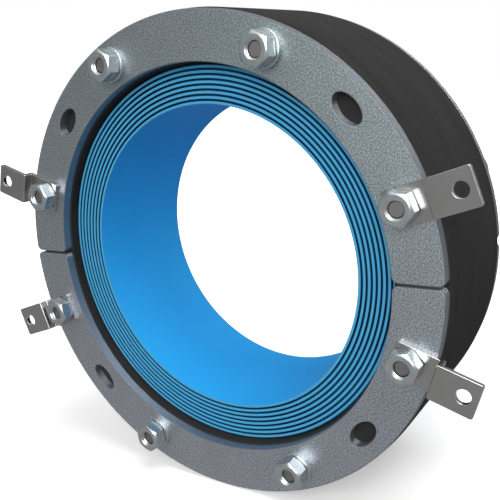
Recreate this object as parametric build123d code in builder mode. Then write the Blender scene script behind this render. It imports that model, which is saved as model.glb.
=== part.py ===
from build123d import *

import math
import os

# Round cable transit seal, made in two halves so that it closes around a cable or pipe already in place.
# All sizes in millimetres. The bore runs along Y, the front faces -Y and +Z is up.
# The origin is on the bore axis, in the front face of the front plates.

# Peelable layers around the bore
bore_dia = 144.5
layer_count = 8
layer_pitch = 2.2
layer_fit = 0.05
layer_recess = 4.0
edge_groove_width = 0.95
edge_groove_depth = 2.5

# Rubber body around the layers
rubber_wall = 22.65
rubber_length = 67.0
rubber_edge_radius = 0.8

# Compression plates, front and rear, a little narrower than the rubber body on both sides
plate_bore_clearance = 0.65
plate_rim_clearance = 0.5
plate_thickness = 5.0
plate_corner_radius = 2.8
plate_edge_chamfer = 0.5
split_gap = 1.0

# Places of the fastenings on each half, counted from the split
bracket_angle = 18.0
free_hole_angle = 42.0
washer_angle = 66.0
free_hole_length = 15.0
free_hole_width = 9.0

# Compression studs, nuts and washers, M8
stud_dia = 8.0
stud_end_chamfer = 1.0
stud_hidden_front = 2.0
stud_hidden_rear = 1.0
stud_hole_clearance = 0.5
thread_fit = 0.05
nut_across_flats = 13.0
nut_height = 6.8
nut_face_dia = 11.7
nut_chamfer_angle = 30.0
nut_mouth_chamfer = 0.1
washer_dia = 16.0
washer_hole_clearance = 0.3
washer_thickness = 2.0
rear_nut_height = 12.0
rear_collar_dia = 19.5
rear_collar_height = 4.8
rear_collar_chamfer = 0.4

# Fixing brackets, bent from strip
bracket_width = 15.2
bracket_thickness = 2.0
bracket_step = 4.4
bracket_root_overhang = 6.25
bracket_flap_length = 16.6
bracket_wall_clearance = 0.6
bracket_outer_bend_radius = 0.5
bracket_inner_bend_radius = 0.3
bracket_corner_radius = 1.0
bracket_screw_hole_dia = 6.2
bracket_screw_hole_margin = 5.7

# Turn of each front nut about its stud, as tightened, in degrees and in the order of the half's fastenings
front_nut_turns = {"upper": (52, 32, 30, 0), "lower": (7, 22, 35, 44)}

# The two halves, and each half's fastenings from one end of the split to the other
halves = {"upper": 1, "lower": -1}
washer_angles = (washer_angle, 180 - washer_angle)
free_hole_angles = (free_hole_angle, 180 - free_hole_angle)
half_angles = (bracket_angle, *washer_angles, 180 - bracket_angle)
nut_seats = (bracket_thickness, washer_thickness, washer_thickness, bracket_thickness)

# Radii
layer_bore_radius = bore_dia / 2
rubber_bore_radius = layer_bore_radius + layer_count * layer_pitch
rubber_radius = rubber_bore_radius + rubber_wall
plate_bore_radius = rubber_bore_radius + plate_bore_clearance
plate_radius = rubber_radius - plate_rim_clearance
fastening_radius = (plate_bore_radius + plate_radius) / 2
stud_hole_radius = stud_dia / 2 + stud_hole_clearance

# Depths behind the front face
rubber_front = plate_thickness
rubber_rear = rubber_front + rubber_length
seal_rear = rubber_rear + plate_thickness
layer_front = rubber_front + layer_recess
stud_rear = seal_rear + rear_nut_height - stud_hidden_rear

os.makedirs("parts", exist_ok=True)


def face_plane(y):
    """Plane facing the front, -Y, at a given depth, with its own x along X and its y along Z."""
    return Plane.XZ.offset(-y)


def radial_plane(angle):
    """Plane through the bore axis at an angle from the split: its x runs outwards and its y along +Y."""
    turn = math.radians(angle)
    outwards = (math.cos(turn), 0, math.sin(turn))
    around = (-math.sin(turn), 0, math.cos(turn))
    return Plane(origin=(0, 0, 0), x_dir=outwards, z_dir=around)


def on_circle(radius, angle):
    """Point at a radius and an angle from the split, in a plane that faces the front."""
    turn = math.radians(angle)
    return (radius * math.cos(turn), radius * math.sin(turn))


def half_turns(sign):
    """The four fastening angles of one half, from 0 to 360 degrees."""
    return [(sign * angle) % 360 for angle in half_angles]


# Four half-ring plates, laser cut from galvanised plate: two in front of the rubber, two behind it.
# Their free holes are oval, longer round the plate than across it.
for end, plate_rear in (("front", plate_thickness), ("rear", seal_rear)):
    for half, sign in halves.items():
        with BuildPart() as plate:
            with BuildSketch(face_plane(plate_rear)):
                Circle(plate_radius)
                Circle(plate_bore_radius, mode=Mode.SUBTRACT)
                with Locations((0, sign * (plate_radius + split_gap / 2))):
                    Rectangle(2 * plate_radius, 2 * plate_radius, mode=Mode.INTERSECT)
                corners = vertices()
                fillet(corners, plate_corner_radius)
            extrude(amount=plate_thickness)
            rims = edges().filter_by(Plane.XZ)
            chamfer(rims, plate_edge_chamfer)
            with BuildSketch(face_plane(plate_rear)):
                with Locations(*[on_circle(fastening_radius, sign * angle) for angle in half_angles]):
                    Circle(stud_hole_radius)
                for angle in free_hole_angles:
                    x, z = on_circle(fastening_radius, sign * angle)
                    with Locations(Location((x, z, 0), (0, 0, sign * angle + 90))):
                        Ellipse(free_hole_length / 2, free_hole_width / 2)
            extrude(amount=plate_thickness, mode=Mode.SUBTRACT)
        plate.part.label = f"{end}_plate_{half}"
        export_step(plate.part, f"parts/{plate.part.label}.step")

# Two half-round bodies of moulded rubber, meeting face to face at the split
for half, sign in halves.items():
    with BuildPart() as rubber_body:
        with BuildSketch(face_plane(rubber_rear)):
            Circle(rubber_radius)
            Circle(rubber_bore_radius, mode=Mode.SUBTRACT)
            with Locations((0, sign * rubber_radius)):
                Rectangle(2 * rubber_radius, 2 * rubber_radius, mode=Mode.INTERSECT)
            with Locations(*[on_circle(fastening_radius, sign * angle) for angle in half_angles]):
                Circle(stud_hole_radius, mode=Mode.SUBTRACT)
        extrude(amount=rubber_length)
        outer_rims = edges().filter_by(GeomType.CIRCLE).group_by(SortBy.RADIUS)[-1]
        fillet(outer_rims, rubber_edge_radius)
    rubber_body.part.label = f"rubber_body_{half}"
    export_step(rubber_body.part, f"parts/{rubber_body.part.label}.step")

# Eight half-round layers in each half, peeled out one by one until the bore fits the cable
for half, sign in halves.items():
    for number in range(1, layer_count + 1):
        inner = layer_bore_radius + (number - 1) * layer_pitch + layer_fit / 2
        outer = layer_bore_radius + number * layer_pitch - layer_fit / 2
        lip = outer - edge_groove_width
        with BuildPart() as peel_layer:
            with BuildSketch(radial_plane(0)):
                with BuildLine():
                    Polyline(
                        (inner, layer_front),
                        (lip, layer_front),
                        (lip, layer_front + edge_groove_depth),
                        (outer, layer_front + edge_groove_depth),
                        (outer, rubber_rear - edge_groove_depth),
                        (lip, rubber_rear - edge_groove_depth),
                        (lip, rubber_rear),
                        (inner, rubber_rear),
                        close=True,
                    )
                make_face()
            revolve(axis=Axis.Y, revolution_arc=-sign * 180)
        peel_layer.part.label = f"peel_layer_{number}_{half}"
        export_step(peel_layer.part, f"parts/{peel_layer.part.label}.step")

# Four fixing brackets, each a strip pressed into two tight bends: under the nut, forwards at the rim, then outwards
bracket_root_radius = fastening_radius - bracket_root_overhang
bracket_wall_inside = rubber_radius + bracket_wall_clearance
bracket_wall_outside = bracket_wall_inside + bracket_thickness
bracket_end_radius = bracket_wall_outside + bracket_flap_length
bracket_screw_hole_radius = bracket_end_radius - bracket_screw_hole_margin
root_front = -bracket_thickness
flap_rear = -bracket_step
flap_front = flap_rear - bracket_thickness
bracket_bends = (0, 0, bracket_inner_bend_radius, bracket_outer_bend_radius) * 2
for name, angle in (
    ("bracket_right_upper", bracket_angle),
    ("bracket_left_upper", 180 - bracket_angle),
    ("bracket_left_lower", 180 + bracket_angle),
    ("bracket_right_lower", 360 - bracket_angle),
):
    with BuildPart() as bracket:
        with BuildSketch(radial_plane(angle)):
            with BuildLine():
                FilletPolyline(
                    (bracket_root_radius, 0),
                    (bracket_root_radius, root_front),
                    (bracket_wall_inside, root_front),
                    (bracket_wall_inside, flap_front),
                    (bracket_end_radius, flap_front),
                    (bracket_end_radius, flap_rear),
                    (bracket_wall_outside, flap_rear),
                    (bracket_wall_outside, 0),
                    radius=bracket_bends,
                    close=True,
                )
            make_face()
        extrude(amount=bracket_width / 2, both=True)
        outwards = radial_plane(angle).x_dir
        strip_corners = edges().filter_by(Axis.Y).sort_by(lambda edge: edge.center().dot(outwards))
        fillet(strip_corners[:2] + strip_corners[-2:], bracket_corner_radius)
        with BuildSketch(face_plane(0)):
            with Locations(on_circle(fastening_radius, angle)):
                Circle(stud_hole_radius)
            with Locations(on_circle(bracket_screw_hole_radius, angle)):
                Circle(bracket_screw_hole_dia / 2)
        extrude(amount=-flap_front, mode=Mode.SUBTRACT)
    bracket.part.label = name
    export_step(bracket.part, f"parts/{name}.step")

# Four compression studs in each half, their ends below the faces of their nuts
for half, sign in halves.items():
    with BuildPart() as studs:
        for angle, seat in zip(half_turns(sign), nut_seats):
            with BuildSketch(face_plane(stud_rear)):
                with Locations(on_circle(fastening_radius, angle)):
                    Circle(stud_dia / 2)
            extrude(amount=stud_rear + seat + nut_height - stud_hidden_front)
        chamfer(edges().filter_by(GeomType.CIRCLE), stud_end_chamfer)
    studs.part.label = f"studs_{half}"
    export_step(studs.part, f"parts/{studs.part.label}.step")

# One front nut about its own axis, seated at the origin with its outer face to the front
nut_corner_radius = nut_across_flats / 2 / math.cos(math.pi / 6)
nut_slope = (nut_corner_radius - nut_face_dia / 2) * math.tan(math.radians(nut_chamfer_angle))
nut_bore_radius = stud_dia / 2 + thread_fit
with BuildPart() as front_nut:
    with BuildSketch(face_plane(0)):
        RegularPolygon(nut_corner_radius, 6)
    extrude(amount=nut_height)
    with BuildSketch(radial_plane(0)):
        with BuildLine():
            Polyline(
                (0, 0),
                (nut_face_dia / 2, 0),
                (nut_corner_radius, -nut_slope),
                (nut_corner_radius, nut_slope - nut_height),
                (nut_face_dia / 2, -nut_height),
                (0, -nut_height),
                close=True,
            )
        make_face()
    revolve(axis=Axis.Y, mode=Mode.INTERSECT)
    with BuildSketch(face_plane(0)):
        Circle(nut_bore_radius)
    extrude(amount=nut_height, mode=Mode.SUBTRACT)
    mouths = edges().filter_by(GeomType.CIRCLE).group_by(SortBy.RADIUS)[0]
    chamfer(mouths, nut_mouth_chamfer)

# One rear nut: a tall hexagon on a round collar, seated at the origin with its collar to the front
with BuildPart() as rear_nut:
    with BuildSketch(face_plane(rear_nut_height)):
        RegularPolygon(nut_corner_radius, 6)
    extrude(amount=rear_nut_height - rear_collar_height)
    with BuildSketch(radial_plane(0)):
        with BuildLine():
            Polyline(
                (0, rear_collar_height),
                (nut_corner_radius, rear_collar_height),
                (nut_corner_radius, rear_nut_height - nut_slope),
                (nut_face_dia / 2, rear_nut_height),
                (0, rear_nut_height),
                close=True,
            )
        make_face()
    revolve(axis=Axis.Y, mode=Mode.INTERSECT)
    with BuildSketch(face_plane(rear_collar_height)):
        Circle(rear_collar_dia / 2)
    extrude(amount=rear_collar_height)
    chamfer(edges().filter_by(GeomType.CIRCLE).group_by(SortBy.RADIUS)[-1], rear_collar_chamfer)
    with BuildSketch(face_plane(rear_nut_height)):
        Circle(nut_bore_radius)
    extrude(amount=rear_nut_height, mode=Mode.SUBTRACT)
    mouths = edges().filter_by(GeomType.CIRCLE).group_by(SortBy.RADIUS)[0]
    chamfer(mouths, nut_mouth_chamfer)

# The nuts in their places: a front nut sits on a bracket near the split and on a washer elsewhere
for half, sign in halves.items():
    with BuildPart() as front_nuts:
        for angle, seat, turn in zip(half_turns(sign), nut_seats, front_nut_turns[half]):
            x, z = on_circle(fastening_radius, angle)
            with Locations(Location((x, -seat, z), (0, -turn, 0))):
                add(front_nut.part)
    front_nuts.part.label = f"front_nuts_{half}"
    export_step(front_nuts.part, f"parts/{front_nuts.part.label}.step")

    with BuildPart() as rear_nuts:
        for angle in half_turns(sign):
            x, z = on_circle(fastening_radius, angle)
            with Locations(Location((x, seal_rear, z), (0, -angle, 0))):
                add(rear_nut.part)
    rear_nuts.part.label = f"rear_nuts_{half}"
    export_step(rear_nuts.part, f"parts/{rear_nuts.part.label}.step")

    with BuildPart() as washers:
        with BuildSketch(face_plane(0)):
            with Locations(*[on_circle(fastening_radius, sign * angle) for angle in washer_angles]):
                Circle(washer_dia / 2)
                Circle(stud_dia / 2 + washer_hole_clearance, mode=Mode.SUBTRACT)
        extrude(amount=washer_thickness)
    washers.part.label = f"washers_{half}"
    export_step(washers.part, f"parts/{washers.part.label}.step")
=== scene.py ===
import math

import bmesh
import bpy
import numpy as np
from mathutils import Matrix, Vector
from mathutils.geometry import tessellate_polygon


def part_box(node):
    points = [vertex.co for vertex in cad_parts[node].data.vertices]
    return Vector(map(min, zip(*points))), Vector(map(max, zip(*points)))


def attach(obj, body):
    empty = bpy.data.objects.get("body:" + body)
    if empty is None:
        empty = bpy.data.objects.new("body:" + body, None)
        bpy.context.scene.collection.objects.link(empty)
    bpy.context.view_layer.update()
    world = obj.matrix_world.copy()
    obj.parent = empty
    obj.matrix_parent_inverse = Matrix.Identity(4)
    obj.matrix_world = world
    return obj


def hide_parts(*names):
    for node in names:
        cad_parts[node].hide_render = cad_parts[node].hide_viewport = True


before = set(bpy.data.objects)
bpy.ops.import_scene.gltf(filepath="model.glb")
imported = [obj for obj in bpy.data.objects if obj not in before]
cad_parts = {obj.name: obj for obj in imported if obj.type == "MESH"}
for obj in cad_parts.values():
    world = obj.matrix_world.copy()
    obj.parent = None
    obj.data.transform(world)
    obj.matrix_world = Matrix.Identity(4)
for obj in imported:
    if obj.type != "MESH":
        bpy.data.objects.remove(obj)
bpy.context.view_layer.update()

# Compression plates
# Four half rings laser cut from 5 mm galvanised steel plate, two in front of the rubber and two behind it.
# Their corners at the split are rounded, and each has four stud holes and two oval holes that stay free.
plate_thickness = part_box("front_plate_upper")[1].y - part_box("front_plate_upper")[0].y
plate_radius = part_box("front_plate_upper")[1].z
plate_half_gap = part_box("front_plate_upper")[0].z
plate_bore_radius = 0.0905
plate_corner = 0.0028
plate_edge_rounding = 0.0004
plate_edge_fade = 0.0005
fastening_radius = (plate_radius + plate_bore_radius) / 2
fastening_turns = (18, 66, 114, 162)
free_hole_turns = (42, 138)
stud_hole_radius = 0.0045
free_hole_length = 0.015
free_hole_width = 0.009
plate_arc_steps = 145
plate_corner_steps = 11
edge_rounding_steps = 5
stud_hole_steps = 41
free_hole_steps = 72


def arc(centre, radius, start, end, steps):
    """Rows of x, z on a circle: the centre plus the radius times (cos, sin) of angles from start to end in degrees."""
    turn = np.radians(np.linspace(start, end, steps))
    return np.column_stack((centre[0] + radius * np.cos(turn), centre[1] + radius * np.sin(turn)))


def on_circle(radius, turn):
    """Point x, z at a radius from the bore axis and an angle in degrees from the split."""
    return radius * math.cos(math.radians(turn)), radius * math.sin(math.radians(turn))


def oval(centre, length, width, turn, steps):
    """Rows of x, z clockwise round an ellipse whose length runs square to the way outwards at an angle in degrees:
    the centre plus half the length times cos along that way and half the width times sin along the way outwards.
    """
    outwards = np.array(on_circle(1, turn))
    along = np.array(on_circle(1, turn + 90))
    round_turn = np.linspace(0, 2 * np.pi, steps, endpoint=False)[:, None]
    return np.array(centre) + length / 2 * np.cos(round_turn) * along + width / 2 * np.sin(round_turn) * outwards


def half_ring_outline(outer, inner, half_gap, corner):
    """Outline of the half ring above the split, going round with the metal on its left.

    Outer arc, two corner arcs with the straight edge between them on the left, inner arc back, the same on the
    right. A corner's centre lies one corner radius above the straight edge and inside the metal from its circle.
    """
    height = half_gap + corner
    outer_x = math.sqrt((outer - corner) ** 2 - height ** 2)
    inner_x = math.sqrt((inner + corner) ** 2 - height ** 2)
    outer_turn = math.degrees(math.atan2(height, outer_x))
    inner_turn = math.degrees(math.atan2(height, inner_x))
    return np.concatenate((
        arc((0, 0), outer, outer_turn, 180 - outer_turn, plate_arc_steps),
        arc((-outer_x, height), corner, 180 - outer_turn, 270, plate_corner_steps)[1:],
        arc((-inner_x, height), corner, 270, 360 - inner_turn, plate_corner_steps),
        arc((0, 0), inner, 180 - inner_turn, inner_turn, plate_arc_steps)[1:],
        arc((inner_x, height), corner, 180 + inner_turn, 270, plate_corner_steps)[1:],
        arc((outer_x, height), corner, 270, 360 + outer_turn, plate_corner_steps)[:-1],
    ))


def grid_faces(rows, columns, close_rows, close_columns):
    """Quads of a grid whose points are numbered row by row. A closed way joins its last line to its first."""
    row = np.arange(rows if close_rows else rows - 1)[:, None]
    column = np.arange(columns if close_columns else columns - 1)[None, :]
    next_row = (row + 1) % rows
    next_column = (column + 1) % columns
    corners = (
        row * columns + column,
        row * columns + next_column,
        next_row * columns + next_column,
        next_row * columns + column,
    )
    return np.stack(corners, axis=-1).reshape(-1, 4)


def carry_round(outline, inset, depth):
    """A profile carried round a closed outline: each point moves square to the outline by the profile's inset.

    The way inwards is the left side of the mean of the two edges that meet there, over the cosine of half their
    turn. The result has a row for each profile point and in it x, y, z for each outline point.
    """
    before = outline - np.roll(outline, 1, axis=0)
    after = np.roll(outline, -1, axis=0) - outline
    before /= np.linalg.norm(before, axis=1, keepdims=True)
    after /= np.linalg.norm(after, axis=1, keepdims=True)
    along = before + after
    along /= np.linalg.norm(along, axis=1, keepdims=True)
    inwards = np.column_stack((-along[:, 1], along[:, 0]))
    inwards /= np.sum(along * after, axis=1)[:, None]
    flat = outline[None] + inwards[None] * inset[:, None, None]
    level = np.broadcast_to(depth[:, None], flat.shape[:2])
    return np.stack((flat[..., 0], level, flat[..., 1]), axis=-1)


def plate_edge(front, thickness, rounding, fade):
    """Inset, depth and rounding weight of a plate's edge from its front face to its rear face.

    Flat, quarter circle, straight wall, quarter circle, flat. On a quarter circle the inset is the rounding times
    (1 - sin) and the depth the rounding times (1 - cos). The rounding weight is 0 on the flats and 1 in the middle of a
    rounding; the plates' edge material paints shade by it and the strip's a highlight.
    """
    turn = np.linspace(0, np.pi / 2, edge_rounding_steps)
    inset = np.concatenate(([rounding + fade], rounding * (1 - np.sin(turn))))
    depth = np.concatenate(([0], rounding * (1 - np.cos(turn))))
    rounding_weight = np.concatenate(([0], np.sin(2 * turn)))
    return (
        np.concatenate((inset, inset[::-1])),
        front + np.concatenate((depth, thickness - depth[::-1])),
        np.concatenate((rounding_weight, rounding_weight[::-1])),
    )


def cut_plate(outlines, inset, depth, rounding_weight):
    """A plate with holes: the edge carried round each outline, and both faces filled between the outlines.

    Returns the points, the faces, each face's material number, 0 on flat faces and 1 on edges, and the points' rounding
    weight.
    """
    bands = [carry_round(outline, inset, depth) for outline in outlines]
    starts = np.cumsum([0] + [band.shape[0] * band.shape[1] for band in bands])
    faces = []
    numbers = []
    for band, start in zip(bands, starts):
        quads = grid_faces(band.shape[0], band.shape[1], False, True) + start
        strip = np.arange(len(quads)) // band.shape[1]
        faces += quads.tolist()
        numbers += np.where((strip == 0) | (strip == band.shape[0] - 2), 0, 1).tolist()
    for row in (0, len(inset) - 1):
        loops = [[Vector((x, z)) for x, _, z in band[row]] for band in bands]
        index = np.concatenate([
            np.arange(band.shape[1]) + row * band.shape[1] + start for band, start in zip(bands, starts)
        ])
        triangles = index[np.array(tessellate_polygon(loops))]
        faces += triangles.tolist()
        numbers += [0] * len(triangles)
    points = np.concatenate([band.reshape(-1, 3) for band in bands])
    return points, faces, numbers, np.concatenate([np.repeat(rounding_weight, band.shape[1]) for band in bands])


def put_piece(name, points, faces, materials, numbers=None, rounding_weight=None, merge=0.0):
    """Makes a piece that rides on the body: smooth but for its sharp edges, with its faces pointing outwards."""
    smooth_below = math.radians(40)
    mesh = bpy.data.meshes.new(name)
    mesh.from_pydata(np.asarray(points).tolist(), [], [list(face) for face in faces])
    for material in materials:
        mesh.materials.append(material)
    if numbers is not None:
        mesh.polygons.foreach_set("material_index", numbers)
    if rounding_weight is not None:
        mesh.attributes.new("rounding_weight", "FLOAT", "POINT").data.foreach_set("value", rounding_weight)
    work = bmesh.new()
    work.from_mesh(mesh)
    if merge:
        bmesh.ops.remove_doubles(work, verts=work.verts, dist=merge)
    bmesh.ops.recalc_face_normals(work, faces=work.faces)
    work.to_mesh(mesh)
    work.free()
    mesh.shade_smooth()
    mesh.set_sharp_from_angle(angle=smooth_below)
    piece = bpy.data.objects.new(name, mesh)
    bpy.context.scene.collection.objects.link(piece)
    piece.modifiers.new("even_shading", "WEIGHTED_NORMAL").keep_sharp = True
    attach(piece, "root")
    return piece


def linear(colour):
    """sRGB hex to linear RGBA: c / 12.92 up to 0.04045, and ((c + 0.055) / 1.055) to the power 2.4 above it."""
    channels = [int(colour[start:start + 2], 16) / 255 for start in (1, 3, 5)]
    return tuple(c / 12.92 if c <= 0.04045 else ((c + 0.055) / 1.055) ** 2.4 for c in channels) + (1.0,)


def add_node(tree, kind, inputs, **settings):
    """Adds a node, sets its properties, and sets or links each of the named or numbered inputs."""
    node = tree.nodes.new(kind)
    for name, value in settings.items():
        setattr(node, name, value)
    for socket, value in inputs.items():
        if isinstance(value, bpy.types.NodeSocket):
            tree.links.new(value, node.inputs[socket])
        else:
            node.inputs[socket].default_value = value
    return node


def start_material(name, **settings):
    """A new material with its tree, its shader with these uniform settings, and the object's own coordinates."""
    material = bpy.data.materials.new(name)
    material.use_nodes = True
    tree = material.node_tree
    shader = tree.nodes["Principled BSDF"]
    for socket, value in settings.items():
        shader.inputs[socket.replace("_", " ")].default_value = value
    place = tree.nodes.new("ShaderNodeTexCoord").outputs["Object"]
    return material, tree, shader, place


def link_shader(tree, shader, **sources):
    """Links the shader's named inputs, with _ for a space, to the outputs that give their values."""
    for socket, source in sources.items():
        tree.links.new(source, shader.inputs[socket.replace("_", " ")])


def galvanised_steel():
    """Hot-dip galvanised plate: a matt bluish zinc skin whose fine crystals glint, with painted shade, darker and
    greener at the upper right.
    """
    material, tree, shader, place = start_material("galvanised_steel", Metallic=1.0)
    # crystals of about 0.6 mm, drawn coarser than the real skin's so that they show
    grain = add_node(tree, "ShaderNodeTexNoise", {"Vector": place, "Scale": 1600, "Detail": 2, "Roughness": 0.9})
    speckle = add_node(tree, "ShaderNodeValToRGB", {"Fac": grain.outputs["Fac"]})
    speckle.color_ramp.elements[0].position = 0.42
    speckle.color_ramp.elements[0].color = linear("#9e9e9e")
    speckle.color_ramp.elements[1].position = 0.66
    # painted shade: the skin is painted darker and greener towards the upper right, where the lamps fall strongest
    painted_shade_way = (0.37, 0, 0.93)
    way = add_node(tree, "ShaderNodeVectorMath", {0: place, 1: painted_shade_way}, operation="DOT_PRODUCT")
    share = add_node(tree, "ShaderNodeMapRange", {
        "Value": way.outputs["Value"], "From Min": -plate_radius, "From Max": plate_radius,
    })
    tone = add_node(tree, "ShaderNodeMix", {
        0: share.outputs["Result"], 6: linear("#e8eef9"), 7: linear("#b8c6c9"),
    }, data_type="RGBA")
    clouds = add_node(tree, "ShaderNodeTexNoise", {"Vector": place, "Scale": 70, "Detail": 3})
    clouding = add_node(tree, "ShaderNodeMapRange", {"Value": clouds.outputs["Fac"], "To Min": 0.92, "To Max": 1.08})
    clouded = add_node(tree, "ShaderNodeMix", {
        0: 1.0, 6: tone.outputs[2], 7: clouding.outputs["Result"],
    }, data_type="RGBA", blend_type="MULTIPLY")
    colour = add_node(tree, "ShaderNodeMix", {
        0: 1.0, 6: clouded.outputs[2], 7: speckle.outputs["Color"],
    }, data_type="RGBA", blend_type="MULTIPLY")
    sheen = add_node(tree, "ShaderNodeMapRange", {"Value": grain.outputs["Fac"], "To Min": 0.52, "To Max": 0.38})
    relief = add_node(tree, "ShaderNodeBump", {
        "Height": grain.outputs["Fac"], "Strength": 0.7, "Distance": 0.00012,
    })
    link_shader(tree, shader, Base_Color=colour.outputs[2], Roughness=sheen.outputs["Result"],
                Normal=relief.outputs["Normal"])
    return material


def laser_cut_edge():
    """The plate's cut wall: bluish grey metal with fine draglines, duller on its rounded rims, with painted shade on
    those rims and on the outer wall.
    """
    material, tree, shader, place = start_material("laser_cut_edge")
    # draglines about 0.6 mm apart run through the plate, along the bore axis
    upright = add_node(tree, "ShaderNodeMapping", {"Vector": place, "Scale": (1, 0.08, 1)})
    lines = add_node(tree, "ShaderNodeTexNoise", {"Vector": upright.outputs["Vector"], "Scale": 1600, "Detail": 1})
    tint = add_node(tree, "ShaderNodeMix", {
        0: lines.outputs["Fac"], 6: linear("#949aa3"), 7: linear("#9da3ac"),
    }, data_type="RGBA")
    # painted shade: the outer wall is painted darker than the bore and the holes, to hold down the lamps' light on it
    across = add_node(tree, "ShaderNodeVectorMath", {0: place, 1: (1, 0, 1)}, operation="MULTIPLY")
    from_axis = add_node(tree, "ShaderNodeVectorMath", {0: across.outputs["Vector"]}, operation="LENGTH")
    outer = add_node(tree, "ShaderNodeMapRange", {
        "Value": from_axis.outputs["Value"], "From Min": fastening_radius + free_hole_width, "From Max": plate_radius,
        "To Min": 1.0, "To Max": 0.7,
    })
    rim_painted_shade = add_node(tree, "ShaderNodeMix", {
        0: 1.0, 6: tint.outputs[2], 7: outer.outputs["Result"],
    }, data_type="RGBA", blend_type="MULTIPLY")
    # painted shade: the rounded rims are painted dark grey, which holds down their highlight; they are also duller and
    # less metallic
    on_rounding = add_node(tree, "ShaderNodeAttribute", {}, attribute_name="rounding_weight")
    colour = add_node(tree, "ShaderNodeMix", {
        0: on_rounding.outputs["Fac"], 6: rim_painted_shade.outputs[2], 7: linear("#58565e"),
    }, data_type="RGBA")
    metal = add_node(tree, "ShaderNodeMapRange", {"Value": on_rounding.outputs["Fac"], "To Min": 0.85, "To Max": 0.2})
    dullness = add_node(tree, "ShaderNodeMapRange", {"Value": on_rounding.outputs["Fac"], "To Min": 0.4, "To Max": 0.7})
    relief = add_node(tree, "ShaderNodeBump", {
        "Height": lines.outputs["Fac"], "Strength": 0.2, "Distance": 0.0001,
    })
    link_shader(tree, shader, Base_Color=colour.outputs[2], Metallic=metal.outputs["Result"],
                Roughness=dullness.outputs["Result"], Normal=relief.outputs["Normal"])
    return material


plate_materials = [galvanised_steel(), laser_cut_edge()]
plates = bpy.data.collections.new("compression_plates")
for end in ("front", "rear"):
    for half, side in (("upper", 1), ("lower", -1)):
        node = f"{end}_plate_{half}"
        profile = plate_edge(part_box(node)[0].y, plate_thickness, plate_edge_rounding, plate_edge_fade)
        outlines = [half_ring_outline(plate_radius, plate_bore_radius, plate_half_gap, plate_corner)]
        for turn in fastening_turns:
            outlines.append(arc(on_circle(fastening_radius, turn), stud_hole_radius, 360, 0, stud_hole_steps)[:-1])
        for turn in free_hole_turns:
            centre = on_circle(fastening_radius, turn)
            outlines.append(oval(centre, free_hole_length, free_hole_width, turn, free_hole_steps))
        points, faces, numbers, rounding_weight = cut_plate(outlines, *profile)
        points[:, 2] *= side
        plate = put_piece(f"{node}_steel", points, faces, plate_materials, numbers, rounding_weight)
        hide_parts(node)
        plates.objects.link(plate)

# Rubber body
# Two half rings of moulded black EPDM, pressed face to face at the split, that swell when the studs are tightened.
# The moulding is dull and even, with a small round at its outer rims.
rubber_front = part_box("rubber_body_upper")[0].y
rubber_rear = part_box("rubber_body_upper")[1].y
rubber_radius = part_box("rubber_body_upper")[1].z
rubber_bore_radius = 0.08985
rubber_rim_rounding = 0.0008
rubber_bore_rounding = 0.0001
rounding_steps = 5
rubber_turn_steps = 181


def round_corners(profile, rounding, steps):
    """Rounds the corners of closed profiles, given as rows of corners with radius and depth, one row for each turn.

    Each corner B becomes a curve (1 - t)^2 A + 2 t (1 - t) B + t^2 C, with A and C one rounding away from B on the
    ways to the corners before and after it.
    """
    before = np.roll(profile, 1, axis=1) - profile
    after = np.roll(profile, -1, axis=1) - profile
    reach = np.asarray(rounding)[None, :, None]
    start = profile + before / np.linalg.norm(before, axis=2, keepdims=True) * reach
    end = profile + after / np.linalg.norm(after, axis=2, keepdims=True) * reach
    t = np.linspace(0, 1, steps)[None, None, :, None]
    curve = (1 - t) ** 2 * start[:, :, None] + 2 * t * (1 - t) * profile[:, :, None] + t ** 2 * end[:, :, None]
    return curve.reshape(len(profile), -1, 2)


def turned(profile, turns):
    """Points x, y, z of profiles set round the bore axis: x = radius cos, y = depth, z = radius sin of each turn."""
    radius = profile[..., 0]
    return np.stack((
        radius * np.cos(turns)[:, None],
        profile[..., 1],
        radius * np.sin(turns)[:, None],
    ), axis=-1)


def half_turned(corners, rounding, side, steps):
    """A half ring turned from one profile of corners, 180 degrees round, with its two ends filled at the split."""
    turns = np.linspace(0, np.pi, steps)
    profile = round_corners(np.array([corners], float), rounding, rounding_steps)
    section = np.repeat(profile, steps, axis=0)
    points = turned(section, turns)
    points[..., 2] *= side
    faces = grid_faces(steps, section.shape[1], False, True).tolist()
    end = [Vector((radius, depth)) for radius, depth in profile[0]]
    triangles = np.array(tessellate_polygon([end]))
    last = (steps - 1) * section.shape[1]
    faces += triangles.tolist() + (triangles + last).tolist()
    return points.reshape(-1, 3), faces


def black_rubber():
    """Moulded EPDM: charcoal, dull, with a very fine orange-peel skin and greyer streaks of bloom round the rim."""
    material, tree, shader, place = start_material("black_epdm_rubber", Specular_IOR_Level=0.12)
    skin = add_node(tree, "ShaderNodeTexNoise", {"Vector": place, "Scale": 900, "Detail": 2})
    round_rim = add_node(tree, "ShaderNodeMapping", {"Vector": place, "Scale": (1, 5, 1)})
    bloom = add_node(tree, "ShaderNodeTexNoise", {
        "Vector": round_rim.outputs["Vector"], "Scale": 24, "Detail": 4, "Roughness": 0.6,
    })
    streaks = add_node(tree, "ShaderNodeMapRange", {"Value": bloom.outputs["Fac"], "From Min": 0.32, "From Max": 0.68})
    colour = add_node(tree, "ShaderNodeMix", {
        0: streaks.outputs["Result"], 6: linear("#282727"), 7: linear("#313131"),
    }, data_type="RGBA")
    dullness = add_node(tree, "ShaderNodeMapRange", {"Value": bloom.outputs["Fac"], "To Min": 0.8, "To Max": 0.92})
    relief = add_node(tree, "ShaderNodeBump", {"Height": skin.outputs["Fac"], "Strength": 0.15, "Distance": 0.0001})
    link_shader(tree, shader, Base_Color=colour.outputs[2], Roughness=dullness.outputs["Result"],
                Normal=relief.outputs["Normal"])
    return material


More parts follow.
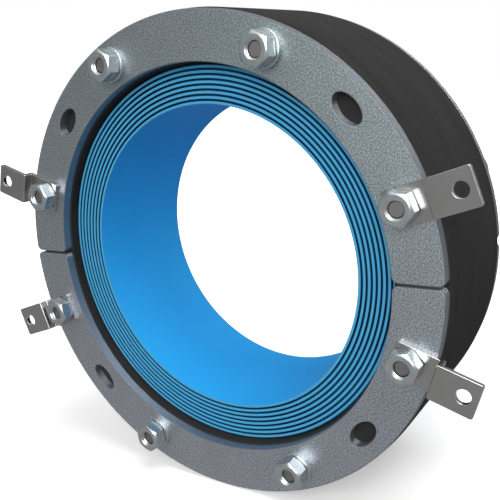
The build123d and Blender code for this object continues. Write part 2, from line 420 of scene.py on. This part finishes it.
rubber_corners = (
    (rubber_bore_radius, rubber_front),
    (rubber_radius, rubber_front),
    (rubber_radius, rubber_rear),
    (rubber_bore_radius, rubber_rear),
)
rubber_rounding = (rubber_bore_rounding, rubber_rim_rounding, rubber_rim_rounding, rubber_bore_rounding)
black_epdm = black_rubber()
for half, side in (("upper", 1), ("lower", -1)):
    points, faces = half_turned(rubber_corners, rubber_rounding, side, rubber_turn_steps)
    rubber = put_piece(f"rubber_body_{half}_moulding", points, faces, [black_epdm])
    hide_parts(f"rubber_body_{half}")

# Peelable layers
# Eight half-round skins of blue rubber in each half, held together until they are peeled out one by one.
# Each is stepped back at its outer edge, front and rear, so dark grooves part the layers.
# The grooves' walls are painted near-black blue, painted shade for these deep narrow grooves.
groove_width = 0.00095
groove_depth = 0.0025
layer_rounding = 0.00022
layer_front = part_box("peel_layer_1_upper")[0].y
layer_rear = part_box("peel_layer_1_upper")[1].y
end_face_depth = 0.0006


def blue_rubber():
    """Moulded blue EPDM: strong sky blue, dull satin, a little uneven in tone, greyer towards its front and rear faces.
    """
    material, tree, shader, place = start_material("blue_epdm_rubber", Roughness=0.6, Specular_IOR_Level=0.15)
    skin = add_node(tree, "ShaderNodeTexNoise", {"Vector": place, "Scale": 800, "Detail": 2})
    tone = add_node(tree, "ShaderNodeTexNoise", {"Vector": place, "Scale": 35, "Detail": 3})
    moulded = add_node(tree, "ShaderNodeMix", {
        0: tone.outputs["Fac"], 6: linear("#1fa6ee"), 7: linear("#2aaff5"),
    }, data_type="RGBA")
    along = add_node(tree, "ShaderNodeSeparateXYZ", {"Vector": place})
    from_middle = add_node(tree, "ShaderNodeMath", {
        0: along.outputs["Y"], 1: (layer_front + layer_rear) / 2,
    }, operation="SUBTRACT")
    distance = add_node(tree, "ShaderNodeMath", {0: from_middle.outputs["Value"]}, operation="ABSOLUTE")
    end_face_share = add_node(tree, "ShaderNodeMapRange", {
        "Value": distance.outputs["Value"],
        "From Min": (layer_rear - layer_front) / 2 - end_face_depth,
        "From Max": (layer_rear - layer_front) / 2,
    })
    colour = add_node(tree, "ShaderNodeMix", {
        0: end_face_share.outputs["Result"], 6: moulded.outputs[2], 7: linear("#479ac5"),
    }, data_type="RGBA")
    relief = add_node(tree, "ShaderNodeBump", {"Height": skin.outputs["Fac"], "Strength": 0.1, "Distance": 0.0001})
    link_shader(tree, shader, Base_Color=colour.outputs[2], Normal=relief.outputs["Normal"])
    return material


def groove_painted_shade():
    """The grooves' walls: rubber painted very dark blue and dull, painted shade for the deep narrow grooves."""
    material, tree, shader, place = start_material("groove_painted_shade_rubber", Roughness=0.9, Specular_IOR_Level=0.05)
    tone = add_node(tree, "ShaderNodeTexNoise", {"Vector": place, "Scale": 60, "Detail": 3})
    colour = add_node(tree, "ShaderNodeMix", {
        0: tone.outputs["Fac"], 6: linear("#0e4463"), 7: linear("#125079"),
    }, data_type="RGBA")
    link_shader(tree, shader, Base_Color=colour.outputs[2])
    return material


layer_materials = [blue_rubber(), groove_painted_shade()]
layer_count = sum(name.startswith("peel_layer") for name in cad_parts) // 2
layer_bore_radius = 0.07225
layer_pitch = (rubber_bore_radius - layer_bore_radius) / layer_count
layer_fit = 0.00005
layer_turn_steps = 161
for number in range(1, layer_count + 1):
    for half, side in (("upper", 1), ("lower", -1)):
        node = f"peel_layer_{number}_{half}"
        inner = layer_bore_radius + (number - 1) * layer_pitch + layer_fit / 2
        outer = layer_bore_radius + number * layer_pitch - layer_fit / 2
        lip = outer - groove_width
        layer_corners = (
            (inner, layer_front),
            (lip, layer_front),
            (lip, layer_front + groove_depth),
            (outer, layer_front + groove_depth),
            (outer, layer_rear - groove_depth),
            (lip, layer_rear - groove_depth),
            (lip, layer_rear),
            (inner, layer_rear),
        )
        points, faces = half_turned(layer_corners, [layer_rounding] * len(layer_corners), side, layer_turn_steps)
        # the faces of one step round: those of each corner's curve, then the straight one to the next corner
        strip = np.arange(len(layer_corners) * rounding_steps)
        # the faces in a groove take the near-black blue, painted shade
        groove_shade_faces = (strip >= 2 * rounding_steps - 1) & (strip < 6 * rounding_steps)
        if number > 1:
            groove_shade_faces |= strip == len(strip) - 1
        numbers = np.zeros(len(faces), int)
        numbers[:len(strip) * (layer_turn_steps - 1)] = np.tile(groove_shade_faces, layer_turn_steps - 1)
        layer = put_piece(f"{node}_skin", points, faces, layer_materials, numbers)
        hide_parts(node)

# Fixing brackets
# Four strips of 2 mm steel, pressed into two tight bends: under the nut, forwards past the rim, outwards to the screw.
# They are cut from smooth rolled strip, so they shine softly, and a painted highlight makes their rounded edges a
# little brighter.
strip_width = 0.0152
strip_thickness = 0.002
strip_corner = 0.001
strip_edge_rounding = 0.00015
strip_edge_fade = 0.0002
strip_root_radius = fastening_radius - 0.00625
strip_wall_radius = rubber_radius + 0.0006
strip_end_radius = strip_wall_radius + strip_thickness + 0.0166
strip_step = 0.0044
# the outer bend is a little wider than the real one, so that its highlight shows
strip_outer_bend = 0.0008
strip_inner_bend = 0.0003
strip_flat_root = 0.017
strip_flat_flap = 0.0152
strip_screw_hole_radius = 0.0031
strip_screw_hole_margin = 0.0057
strip_bend_steps = 7
strip_corner_steps = 9
screw_hole_steps = 49
bracket_turns = {"right_upper": 18, "left_upper": 162, "left_lower": 198, "right_lower": 342}


def strip_side(shift, first_bend, second_bend):
    """Rows of radius and depth along one side of the bent strip, at a shift from its middle, root to flap.

    A bend of radius p from the way e to the way f has the points corner - p e (1 - sin a) + p f (1 - cos a), with a
    from 0 to 90 degrees. The first bend turns from outwards to forwards and the second turns back.
    """
    turn = np.linspace(0, np.pi / 2, strip_bend_steps)[:, None]
    outwards = np.array((1, 0))
    forwards = np.array((0, -1))
    root_depth = shift - strip_thickness / 2
    flap_depth = root_depth - strip_step
    wall = strip_wall_radius + strip_thickness / 2 + shift
    into = 1 - np.sin(turn)
    out_of = 1 - np.cos(turn)
    return np.concatenate((
        [(strip_root_radius, root_depth), (strip_root_radius + strip_flat_root, root_depth)],
        (wall, root_depth) - first_bend * outwards * into + first_bend * forwards * out_of,
        (wall, flap_depth) - second_bend * forwards * into + second_bend * outwards * out_of,
        [(strip_end_radius - strip_flat_flap, flap_depth), (strip_end_radius, flap_depth)],
    ))


strip_front = strip_side(-strip_thickness / 2, strip_inner_bend, strip_outer_bend)
strip_rear = strip_side(strip_thickness / 2, strip_outer_bend, strip_inner_bend)
strip_steps = np.linalg.norm(np.diff((strip_front + strip_rear) / 2, axis=0), axis=1)
strip_marks = np.concatenate(([0], np.cumsum(strip_steps)))
strip_length = strip_marks[-1]


def strip_outline():
    """Outline of the flat strip, along its length from 0 and across it about 0, with four rounded corners."""
    far = strip_length - strip_corner
    side = strip_width / 2 - strip_corner
    return np.concatenate((
        arc((far, -side), strip_corner, 270, 360, strip_corner_steps),
        arc((far, side), strip_corner, 0, 90, strip_corner_steps),
        arc((strip_corner, side), strip_corner, 90, 180, strip_corner_steps),
        arc((strip_corner, -side), strip_corner, 180, 270, strip_corner_steps),
    ))


def bend_strip(mesh, turn):
    """Cuts the flat strip across at its bends, bends it and turns it into its place.

    A point lies between the two sides of the bent strip, at its place along them, by its share of the thickness.
    """
    work = bmesh.new()
    work.from_mesh(mesh)
    for cut in strip_marks[1:-1]:
        everything = work.verts[:] + work.edges[:] + work.faces[:]
        bmesh.ops.bisect_plane(work, geom=everything, plane_co=(cut, 0, 0), plane_no=(1, 0, 0))
    work.to_mesh(mesh)
    work.free()
    flat = np.empty(len(mesh.vertices) * 3)
    mesh.vertices.foreach_get("co", flat)
    along, deep, across = flat.reshape(-1, 3).T
    share = deep / strip_thickness + 0.5
    radius, depth = (
        np.interp(along, strip_marks, front) * (1 - share) + np.interp(along, strip_marks, rear) * share
        for front, rear in zip(strip_front.T, strip_rear.T)
    )
    cos, sin = math.cos(math.radians(turn)), math.sin(math.radians(turn))
    placed = np.column_stack((radius * cos - across * sin, depth, radius * sin + across * cos))
    mesh.vertices.foreach_set("co", placed.ravel())
    mesh.update()


def rolled_strip():
    """Bright rolled steel strip: an even satin grey with a very faint grain and a painted highlight on its rounded
    edges.
    """
    material, tree, shader, place = start_material("rolled_steel_strip", Metallic=1.0)
    haze = add_node(tree, "ShaderNodeTexNoise", {"Vector": place, "Scale": 120, "Detail": 3})
    grain = add_node(tree, "ShaderNodeTexNoise", {"Vector": place, "Scale": 2500, "Detail": 1})
    tint = add_node(tree, "ShaderNodeMix", {
        0: haze.outputs["Fac"], 6: linear("#b7b5b4"), 7: linear("#c2c0bf"),
    }, data_type="RGBA")
    on_rounding = add_node(tree, "ShaderNodeAttribute", {}, attribute_name="rounding_weight")
    # painted highlight: the rounded edges are painted a little brighter
    painted_highlight_share = add_node(tree, "ShaderNodeMath", {0: on_rounding.outputs["Fac"], 1: 0.4}, operation="MULTIPLY")
    colour = add_node(tree, "ShaderNodeMix", {
        0: painted_highlight_share.outputs["Value"], 6: tint.outputs[2], 7: linear("#f2f2f2"),
    }, data_type="RGBA")
    shine = add_node(tree, "ShaderNodeMapRange", {"Value": haze.outputs["Fac"], "To Min": 0.16, "To Max": 0.24})
    relief = add_node(tree, "ShaderNodeBump", {"Height": grain.outputs["Fac"], "Strength": 0.06, "Distance": 0.00005})
    link_shader(tree, shader, Base_Color=colour.outputs[2], Roughness=shine.outputs["Result"],
                Normal=relief.outputs["Normal"])
    return material


strip_steel = rolled_strip()
strip_profile = plate_edge(-strip_thickness / 2, strip_thickness, strip_edge_rounding, strip_edge_fade)
strip_holes = [
    arc((fastening_radius - strip_root_radius, 0), stud_hole_radius, 360, 0, stud_hole_steps)[:-1],
    arc((strip_length - strip_screw_hole_margin, 0), strip_screw_hole_radius, 360, 0, screw_hole_steps)[:-1],
]
for place_name, turn in bracket_turns.items():
    points, faces, numbers, rounding_weight = cut_plate([strip_outline(), *strip_holes], *strip_profile)
    bracket = put_piece(f"bracket_{place_name}_strip", points, faces, [strip_steel], None, rounding_weight)
    bend_strip(bracket.data, turn)
    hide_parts(f"bracket_{place_name}")

# Front nuts
# Eight M8 hexagon nuts of zinc-plated steel, cold formed and tapped, each turned as far as its tightening took it.
# Both faces are chamfered to a round, and the thread shows in the mouth in front of the stud's end.
nut_apothem = 0.0065
nut_corner_cap = 0.0074
nut_height = 0.0068
nut_face_radius = 0.00585
nut_chamfer_slope = math.tan(math.radians(30))
nut_bore_radius = 0.00405
nut_mouth_rounding = 0.00008
thread_pitch = 0.00125
thread_depth = 0.0006
thread_half_crest = 0.07
thread_flank = 0.36
front_thread_length = 0.0024
nut_edge_rounding = 0.00018
nut_rounding_steps = 4
bracket_nut_seat = -strip_thickness
washer_nut_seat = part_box("washers_upper")[0].y
front_nut_turns = {"upper": (52, 32, 30, 0), "lower": (7, 22, 35, 44)}
# turns within one flat, close together near its corners, where the chamfer's edge curves most
sector_steps = np.array([0, 0.7, 1.6, 4, 10, 18, 30, 42, 50, 56, 58.4, 59.3])
hexagon_turns = np.radians(np.append((np.arange(6)[:, None] * 60 + sector_steps[None, :]).ravel(), 360))
joining_distance = 0.0000005


def hexagon_radius(turns):
    """Distance to a hexagon's flats, apothem / cos(turn from the flat's middle), with its corners capped."""
    from_middle = np.mod(turns, np.pi / 3) - np.pi / 6
    return np.minimum(nut_apothem / np.cos(from_middle), nut_corner_cap)


def thread_rows(face, length):
    """Rows of radius and depth of a tapped hole's thread, from its mouth in a face to a length inside it.

    Each row falls back one pitch a turn, so it stays on a crest, a root or the foot of a flank, and is held between
    the two ends. The radius is the bore's less the thread's depth times a trapezium wave of the pitches so far, and
    no less than that of a 45 degree cone that opens the mouth.
    """
    turns = hexagon_turns[:, None] / (2 * np.pi)
    way = math.copysign(1, length)
    pitches = np.arange(math.ceil(abs(length) / thread_pitch) + 2)
    flank_foot = thread_half_crest + thread_flank
    in_pitch = np.array((thread_half_crest, flank_foot, 1 - flank_foot, 1 - thread_half_crest))
    marks = (pitches[:, None] + in_pitch[None, :]).ravel()
    gone = np.clip((marks[None, :] - turns) * thread_pitch, 0, abs(length))
    phase = np.mod(gone / thread_pitch + turns, 1)
    height = np.clip((np.abs(phase - 0.5) - thread_half_crest) / thread_flank, 0, 1)
    radius = np.maximum(nut_bore_radius - thread_depth * height, nut_bore_radius - gone)
    return np.stack((radius, face + way * gone), axis=-1)


def ring_of_corners(*corners):
    """Corners with radius and depth, each one number or one for each turn, as a row for each of the hexagon's turns."""
    return np.stack([np.column_stack(np.broadcast_arrays(*corner, hexagon_turns)[:2]) for corner in corners], axis=1)


def front_nut():
    """One nut about its own axis with its outer face forward at depth -height: profiles whose last repeats the first.

    At each turn the chamfer's cone meets the flat where its slope has climbed from the face's circle to the flat.
    """
    flat = hexagon_radius(hexagon_turns)
    fall = (flat - nut_face_radius) * nut_chamfer_slope
    corners = ring_of_corners(
        (nut_bore_radius, -nut_height),
        (nut_face_radius, -nut_height),
        (flat, fall - nut_height),
        (flat, -fall),
        (nut_face_radius, 0.0),
        (nut_bore_radius, 0.0),
    )
    outside = round_corners(corners, [0] + [nut_edge_rounding] * 4 + [nut_mouth_rounding], nut_rounding_steps)
    thread = thread_rows(-nut_height, front_thread_length)
    bore = ring_of_corners((nut_bore_radius, front_thread_length - nut_height))
    return turned(np.concatenate((outside, bore, thread[:, ::-1]), axis=1), hexagon_turns)


def set_round(shape, seats, turns=(0, 0, 0, 0)):
    """Copies of one ring of profiles, each turned about its own axis and moved to its seat, as one set of points
    and faces."""
    rows, columns = shape.shape[:2]
    faces = grid_faces(rows, columns, False, True)
    points = []
    for (x, y, z), turn in zip(seats, turns):
        cos, sin = math.cos(math.radians(turn)), math.sin(math.radians(turn))
        points.append(np.stack((
            x + shape[..., 0] * cos - shape[..., 2] * sin,
            y + shape[..., 1],
            z + shape[..., 0] * sin + shape[..., 2] * cos,
        ), axis=-1).reshape(-1, 3))
    return np.concatenate(points), np.concatenate([faces + rows * columns * copy for copy in range(len(points))])


def zinc_plated_steel():
    """Bright zinc plate over formed steel: clear silver, fairly sharp in its reflections, with a faint haze."""
    material, tree, shader, place = start_material("zinc_plated_steel", Metallic=0.92)
    haze = add_node(tree, "ShaderNodeTexNoise", {"Vector": place, "Scale": 400, "Detail": 3})
    pits = add_node(tree, "ShaderNodeTexNoise", {"Vector": place, "Scale": 1800, "Detail": 2})
    colour = add_node(tree, "ShaderNodeMix", {
        0: haze.outputs["Fac"], 6: linear("#b1b8ba"), 7: linear("#cdd3d5"),
    }, data_type="RGBA")
    shine = add_node(tree, "ShaderNodeMapRange", {"Value": haze.outputs["Fac"], "To Min": 0.22, "To Max": 0.3})
    relief = add_node(tree, "ShaderNodeBump", {"Height": pits.outputs["Fac"], "Strength": 0.05, "Distance": 0.00005})
    link_shader(tree, shader, Base_Color=colour.outputs[2], Roughness=shine.outputs["Result"],
                Normal=relief.outputs["Normal"])
    return material


zinc_plate = zinc_plated_steel()
nut_seats = (bracket_nut_seat, washer_nut_seat, washer_nut_seat, bracket_nut_seat)
fastening_places = {}
for half, side in (("upper", 1), ("lower", -1)):
    fastening_places[half] = [on_circle(fastening_radius, side * turn) for turn in fastening_turns]
    seats = [(x, seat, z) for (x, z), seat in zip(fastening_places[half], nut_seats)]
    points, faces = set_round(front_nut(), seats, front_nut_turns[half])
    nuts = put_piece(f"front_nuts_{half}_m8", points, faces, [zinc_plate], merge=joining_distance)
    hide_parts(f"front_nuts_{half}")

# Washers
# Four round washers of zinc-plated steel, punched from strip, under the nuts that have no bracket.
# Punching leaves one rim a little rounder than the other.
washer_radius = 0.008
washer_hole_radius = 0.0043
washer_front_rounding = 0.00035
washer_rear_rounding = 0.0001
washer_thickness = -washer_nut_seat
round_turns = np.radians(np.arange(0, 361, 6))


def washer():
    """A flat ring with rounded rims, its rear face at depth 0."""
    corners = np.array([[
        (washer_hole_radius, -washer_thickness),
        (washer_radius, -washer_thickness),
        (washer_radius, 0),
        (washer_hole_radius, 0),
    ]])
    rounding = (washer_front_rounding, washer_front_rounding, washer_rear_rounding, washer_rear_rounding)
    section = np.repeat(round_corners(corners, rounding, rounding_steps), len(round_turns), axis=0)
    return turned(section, round_turns)


for half in ("upper", "lower"):
    seats = [(x, 0, z) for x, z in fastening_places[half][1:3]]
    points, faces = set_round(washer(), seats)
    washers = put_piece(f"washers_{half}_punched", points, faces, [zinc_plate], merge=joining_distance)
    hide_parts(f"washers_{half}")

# Rear nuts
# Eight tall collar nuts of zinc-plated steel behind the rear plates, which the studs are screwed into.
# A round collar spreads the load, so they need no washer.
rear_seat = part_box("rear_nuts_upper")[0].y
rear_nut_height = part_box("rear_nuts_upper")[1].y - rear_seat
rear_collar_radius = 0.00975
rear_collar_height = 0.0048
rear_collar_seat_rounding = 0.0002
rear_collar_rim_rounding = 0.0004
rear_collar_foot_rounding = 0.0003
rear_thread_length = 0.0014


def rear_nut():
    """One collar nut about its own axis with its collar's face at depth 0: profiles whose last repeats the first."""
    flat = hexagon_radius(hexagon_turns)
    fall = (flat - nut_face_radius) * nut_chamfer_slope
    corners = ring_of_corners(
        (nut_bore_radius, 0.0),
        (rear_collar_radius, 0.0),
        (rear_collar_radius, rear_collar_height),
        (flat, rear_collar_height),
        (flat, rear_nut_height - fall),
        (nut_face_radius, rear_nut_height),
        (nut_bore_radius, rear_nut_height),
    )
    collar_rounding = [rear_collar_seat_rounding, rear_collar_rim_rounding, rear_collar_foot_rounding]
    rounding = [nut_mouth_rounding, *collar_rounding, nut_edge_rounding, nut_edge_rounding, 0]
    outside = round_corners(corners, rounding, nut_rounding_steps)
    thread = thread_rows(rear_nut_height, -rear_thread_length)
    bore = ring_of_corners((nut_bore_radius, rear_nut_height - rear_thread_length))
    return turned(np.concatenate((outside, thread, bore), axis=1), hexagon_turns)


for half, side in (("upper", 1), ("lower", -1)):
    seats = [(x, rear_seat, z) for x, z in fastening_places[half]]
    points, faces = set_round(rear_nut(), seats, [side * turn for turn in fastening_turns])
    nuts = put_piece(f"rear_nuts_{half}_collar", points, faces, [zinc_plate], merge=joining_distance)
    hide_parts(f"rear_nuts_{half}")

# Studs
# Eight M8 studs of zinc-plated steel through the plates and the rubber, which squeeze the seal when tightened.
# Their ends are faced off and chamfered, lie below the nuts' faces and have lost some of their zinc.
stud_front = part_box("studs_upper")[0].y
stud_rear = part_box("studs_upper")[1].y
stud_radius = 0.004
stud_end_chamfer = 0.001


def stud():
    """One stud about its own axis, from the middle of its front end to the middle of its rear end."""
    disc = stud_radius - stud_end_chamfer
    profile = np.array([[
        (0, stud_front),
        (disc, stud_front),
        (stud_radius, stud_front + stud_end_chamfer),
        (stud_radius, stud_rear - stud_end_chamfer),
        (disc, stud_rear),
        (0, stud_rear),
    ]])
    return turned(np.repeat(profile, len(round_turns), axis=0), round_turns)


def faced_steel():
    """The cut end of a stud: brownish grey steel with fine uneven tool marks and little zinc left."""
    material, tree, shader, place = start_material("faced_stud_steel", Metallic=1.0, Roughness=0.42)
    marks = add_node(tree, "ShaderNodeTexNoise", {"Vector": place, "Scale": 1500, "Detail": 2})
    colour = add_node(tree, "ShaderNodeMix", {
        0: marks.outputs["Fac"], 6: linear("#858381"), 7: linear("#9b9896"),
    }, data_type="RGBA")
    relief = add_node(tree, "ShaderNodeBump", {"Height": marks.outputs["Fac"], "Strength": 0.2, "Distance": 0.00006})
    link_shader(tree, shader, Base_Color=colour.outputs[2], Normal=relief.outputs["Normal"])
    return material


stud_steel = faced_steel()
for half in ("upper", "lower"):
    seats = [(x, 0, z) for x, z in fastening_places[half]]
    points, faces = set_round(stud(), seats)
    studs = put_piece(f"studs_{half}_m8", points, faces, [stud_steel], merge=joining_distance)
    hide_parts(f"studs_{half}")

# Floor
# A plain pale floor under the rubber, which only takes the seal's shadow and throws little light back.
# It glows white to the eye, more with distance, so that it meets the white background without an edge.
floor_height = -rubber_radius
floor_reach = 6.0
floor_least_glow = 0.3
floor_glow_start = 0.15
floor_glow_end = 0.7


def seen_rays(tree):
    """1 for rays that see the background white, from the camera, of gloss and through glass, and 0 for others."""
    light_path = tree.nodes.new("ShaderNodeLightPath")
    first = add_node(tree, "ShaderNodeMath", {
        0: light_path.outputs["Is Camera Ray"], 1: light_path.outputs["Is Glossy Ray"],
    }, operation="MAXIMUM")
    seen = add_node(tree, "ShaderNodeMath", {
        0: first.outputs["Value"], 1: light_path.outputs["Is Transmission Ray"],
    }, operation="MAXIMUM")
    return seen.outputs["Value"]


def bare_material(name):
    """A new material without a shader, and its tree."""
    material = bpy.data.materials.new(name)
    material.use_nodes = True
    tree = material.node_tree
    tree.nodes.remove(tree.nodes["Principled BSDF"])
    return material, tree


def pale_floor():
    """Matt white paint to the eye and dark grey to light that bounces, with a white glow for the seen rays alone.

    The glow is least under the seal and rises to 1 with the distance, from its start to its end.
    """
    material, tree = bare_material("pale_floor")
    seen = seen_rays(tree)
    place = tree.nodes.new("ShaderNodeTexCoord").outputs["Object"]
    away = add_node(tree, "ShaderNodeVectorMath", {0: place}, operation="LENGTH")
    glow_level = add_node(tree, "ShaderNodeMapRange", {
        "Value": away.outputs["Value"], "From Min": floor_glow_start, "From Max": floor_glow_end,
        "To Min": floor_least_glow, "To Max": 1.0,
    })
    level = add_node(tree, "ShaderNodeMath", {0: seen, 1: glow_level.outputs["Result"]}, operation="MULTIPLY")
    paint_colour = add_node(tree, "ShaderNodeMix", {
        0: seen, 6: linear("#808080"), 7: linear("#f2f2f2"),
    }, data_type="RGBA")
    paint = add_node(tree, "ShaderNodeBsdfDiffuse", {"Color": paint_colour.outputs[2]})
    glow = add_node(tree, "ShaderNodeEmission", {"Color": linear("#ffffff"), "Strength": level.outputs["Value"]})
    both = add_node(tree, "ShaderNodeAddShader", {0: paint.outputs["BSDF"], 1: glow.outputs["Emission"]})
    tree.links.new(both.outputs["Shader"], tree.nodes["Material Output"].inputs["Surface"])
    return material


def put_surface(name, points, faces, material):
    """Makes an object of the studio from its points, faces and material."""
    mesh = bpy.data.meshes.new(name)
    mesh.from_pydata(points, [], faces)
    mesh.materials.append(material)
    surface = bpy.data.objects.new(name, mesh)
    bpy.context.scene.collection.objects.link(surface)
    return surface


floor = put_surface("floor", [
    (x * floor_reach, y * floor_reach, floor_height) for x, y in ((-1, -1), (1, -1), (1, 1), (-1, 1))
], [(0, 1, 2, 3)], pale_floor())

# Grey screen
# A low grey screen of paper round the seal, with a grey sheet on the floor inside it, cut down before the front lamp.
# Only reflections see it, so that bright metal shows a calm grey to the sides and white from above.
screen_radius = 1.15
screen_height = 0.45
screen_far_height = 1.45
screen_far_turn = 120
screen_far_spread = 0.85
screen_gap_turn = -73
screen_gap_width = 32
screen_gap_height = 0.0
screen_above_floor = 0.0002
screen_rings = (0.0, 0.3, 0.7, 1.0, 1.0, 1.0)
screen_steps = 120


def grey_paper():
    """Grey paper whose glow is its colour, so that no lamp changes it, a little darker on the left."""
    material, tree = bare_material("grey_paper")
    place = tree.nodes.new("ShaderNodeTexCoord").outputs["Object"]
    across = add_node(tree, "ShaderNodeSeparateXYZ", {"Vector": place})
    share = add_node(tree, "ShaderNodeMapRange", {"Value": across.outputs["X"], "From Min": -0.9, "From Max": 0.1})
    colour = add_node(tree, "ShaderNodeMix", {
        0: share.outputs["Result"], 6: linear("#8c8c8d"), 7: linear("#9d9e9e"),
    }, data_type="RGBA")
    glow = add_node(tree, "ShaderNodeEmission", {"Color": colour.outputs[2], "Strength": 1.0})
    tree.links.new(glow.outputs["Emission"], tree.nodes["Material Output"].inputs["Surface"])
    return material


def screen_surface(steps):
    """A disc on the floor, with rings at shares of its radius, that turns up into a wall.

    The wall rises behind the seal and on its left by the spread plus the cosine of the angle from the far turn,
    between 0 and 1, and falls in a bell curve, exp(-(angle / width)^2), about the gap.
    """
    turns = np.radians(np.linspace(0, 360, steps, endpoint=False))
    from_gap = (np.degrees(turns) - screen_gap_turn + 180) % 360 - 180
    rise = np.clip(screen_far_spread + np.cos(turns - math.radians(screen_far_turn)), 0, 1)
    full = screen_height + (screen_far_height - screen_height) * rise
    top = full - (full - screen_gap_height) * np.exp(-(from_gap / screen_gap_width) ** 2)
    low = np.full_like(turns, floor_height + screen_above_floor)
    reach = np.array(screen_rings) * screen_radius
    height = np.stack((low, low, low, low, (low + top) / 2, top), axis=1)
    return np.stack((np.cos(turns)[:, None] * reach, np.sin(turns)[:, None] * reach, height), axis=-1)


screen_points = screen_surface(screen_steps)
screen_faces = grid_faces(*screen_points.shape[:2], True, False).tolist()
screen = put_surface("grey_screen", screen_points.reshape(-1, 3).tolist(), screen_faces, grey_paper())
screen.visible_camera = False
screen.visible_diffuse = False
screen.visible_transmission = False
screen.visible_shadow = False

# Camera
# The photograph's view, fitted to the plates' rims, the bore and the nuts.
# It looks down a little from the right in front, from close by, and is rolled a little.
camera_turn = math.radians(34.095)
camera_rise = math.radians(14.098)
camera_roll = math.radians(-4.949)
camera_distance = 0.32637
camera_target = Vector((0.015201, 0.016135, 0.004675))
camera_lens = 50.908
camera_sensor_width = 36
back = Vector((
    math.sin(camera_turn) * math.cos(camera_rise),
    -math.cos(camera_turn) * math.cos(camera_rise),
    math.sin(camera_rise),
))
level_right = (-back).cross(Vector((0, 0, 1))).normalized()
level_up = level_right.cross(-back)
right = level_right * math.cos(camera_roll) + level_up * math.sin(camera_roll)
up = level_up * math.cos(camera_roll) - level_right * math.sin(camera_roll)
camera_data = bpy.data.cameras.new("camera")
camera_data.sensor_width = camera_sensor_width
camera_data.lens = camera_lens
camera_data.clip_start = 0.01
camera = bpy.data.objects.new("camera", camera_data)
camera_axes = Matrix((right, up, back)).transposed().to_4x4()
camera.matrix_world = Matrix.Translation(camera_target + back * camera_distance) @ camera_axes
bpy.context.scene.collection.objects.link(camera)
bpy.context.scene.camera = camera

# Light
# Large soft lamps, one high on the right in front, one above and a weak one behind, in an even pale surround.
# The glint lamp, above and behind, gives the plates alone a sheen on their cut walls, also where the seal hides them.
surround_light = 0.34
surround_white = 1.0


def softbox(name, place, size, watts, aim=(0, 0, 0)):
    """A square white lamp of a size in metres at a place, facing its aim."""
    data = bpy.data.lights.new(name, "AREA")
    data.size = size
    data.energy = watts
    lamp = bpy.data.objects.new(name, data)
    lamp.location = place
    lamp.rotation_euler = (Vector(aim) - Vector(place)).to_track_quat("-Z", "Y").to_euler()
    bpy.context.scene.collection.objects.link(lamp)
    return lamp


softbox("front_lamp", place=(0.40, -1.31, 0.61), size=1.05, watts=21)
softbox("top_lamp", place=(0.6, -0.14, 1.56), size=1.0, watts=16, aim=(0, 0.03, 0))
softbox("rear_lamp", place=(0, 1.5, 0), size=0.6, watts=8)
glint_lamp = softbox("glint_lamp", place=(0.45, 1.28, 0.85), size=1.4, watts=4.2)
# without shadow, and without the reflected rays that the seal would stop, it reaches every wall
glint_lamp.data.use_shadow = False
glint_lamp.data.cycles.use_multiple_importance_sampling = False
glint_lamp.visible_diffuse = False
glint_lamp.light_linking.receiver_collection = plates

world = bpy.data.worlds.new("white_surround")
world.use_nodes = True
bpy.context.scene.world = world
tree = world.node_tree
tree.nodes.remove(tree.nodes["Background"])
lighting = add_node(tree, "ShaderNodeBackground", {"Color": linear("#ffffff"), "Strength": surround_light})
backdrop = add_node(tree, "ShaderNodeBackground", {"Color": linear("#ffffff"), "Strength": surround_white})
either = add_node(tree, "ShaderNodeMixShader", {
    0: seen_rays(tree), 1: lighting.outputs["Background"], 2: backdrop.outputs["Background"],
})
tree.links.new(either.outputs["Shader"], tree.nodes["World Output"].inputs["Surface"])

bpy.context.scene.view_settings.view_transform = "Standard"
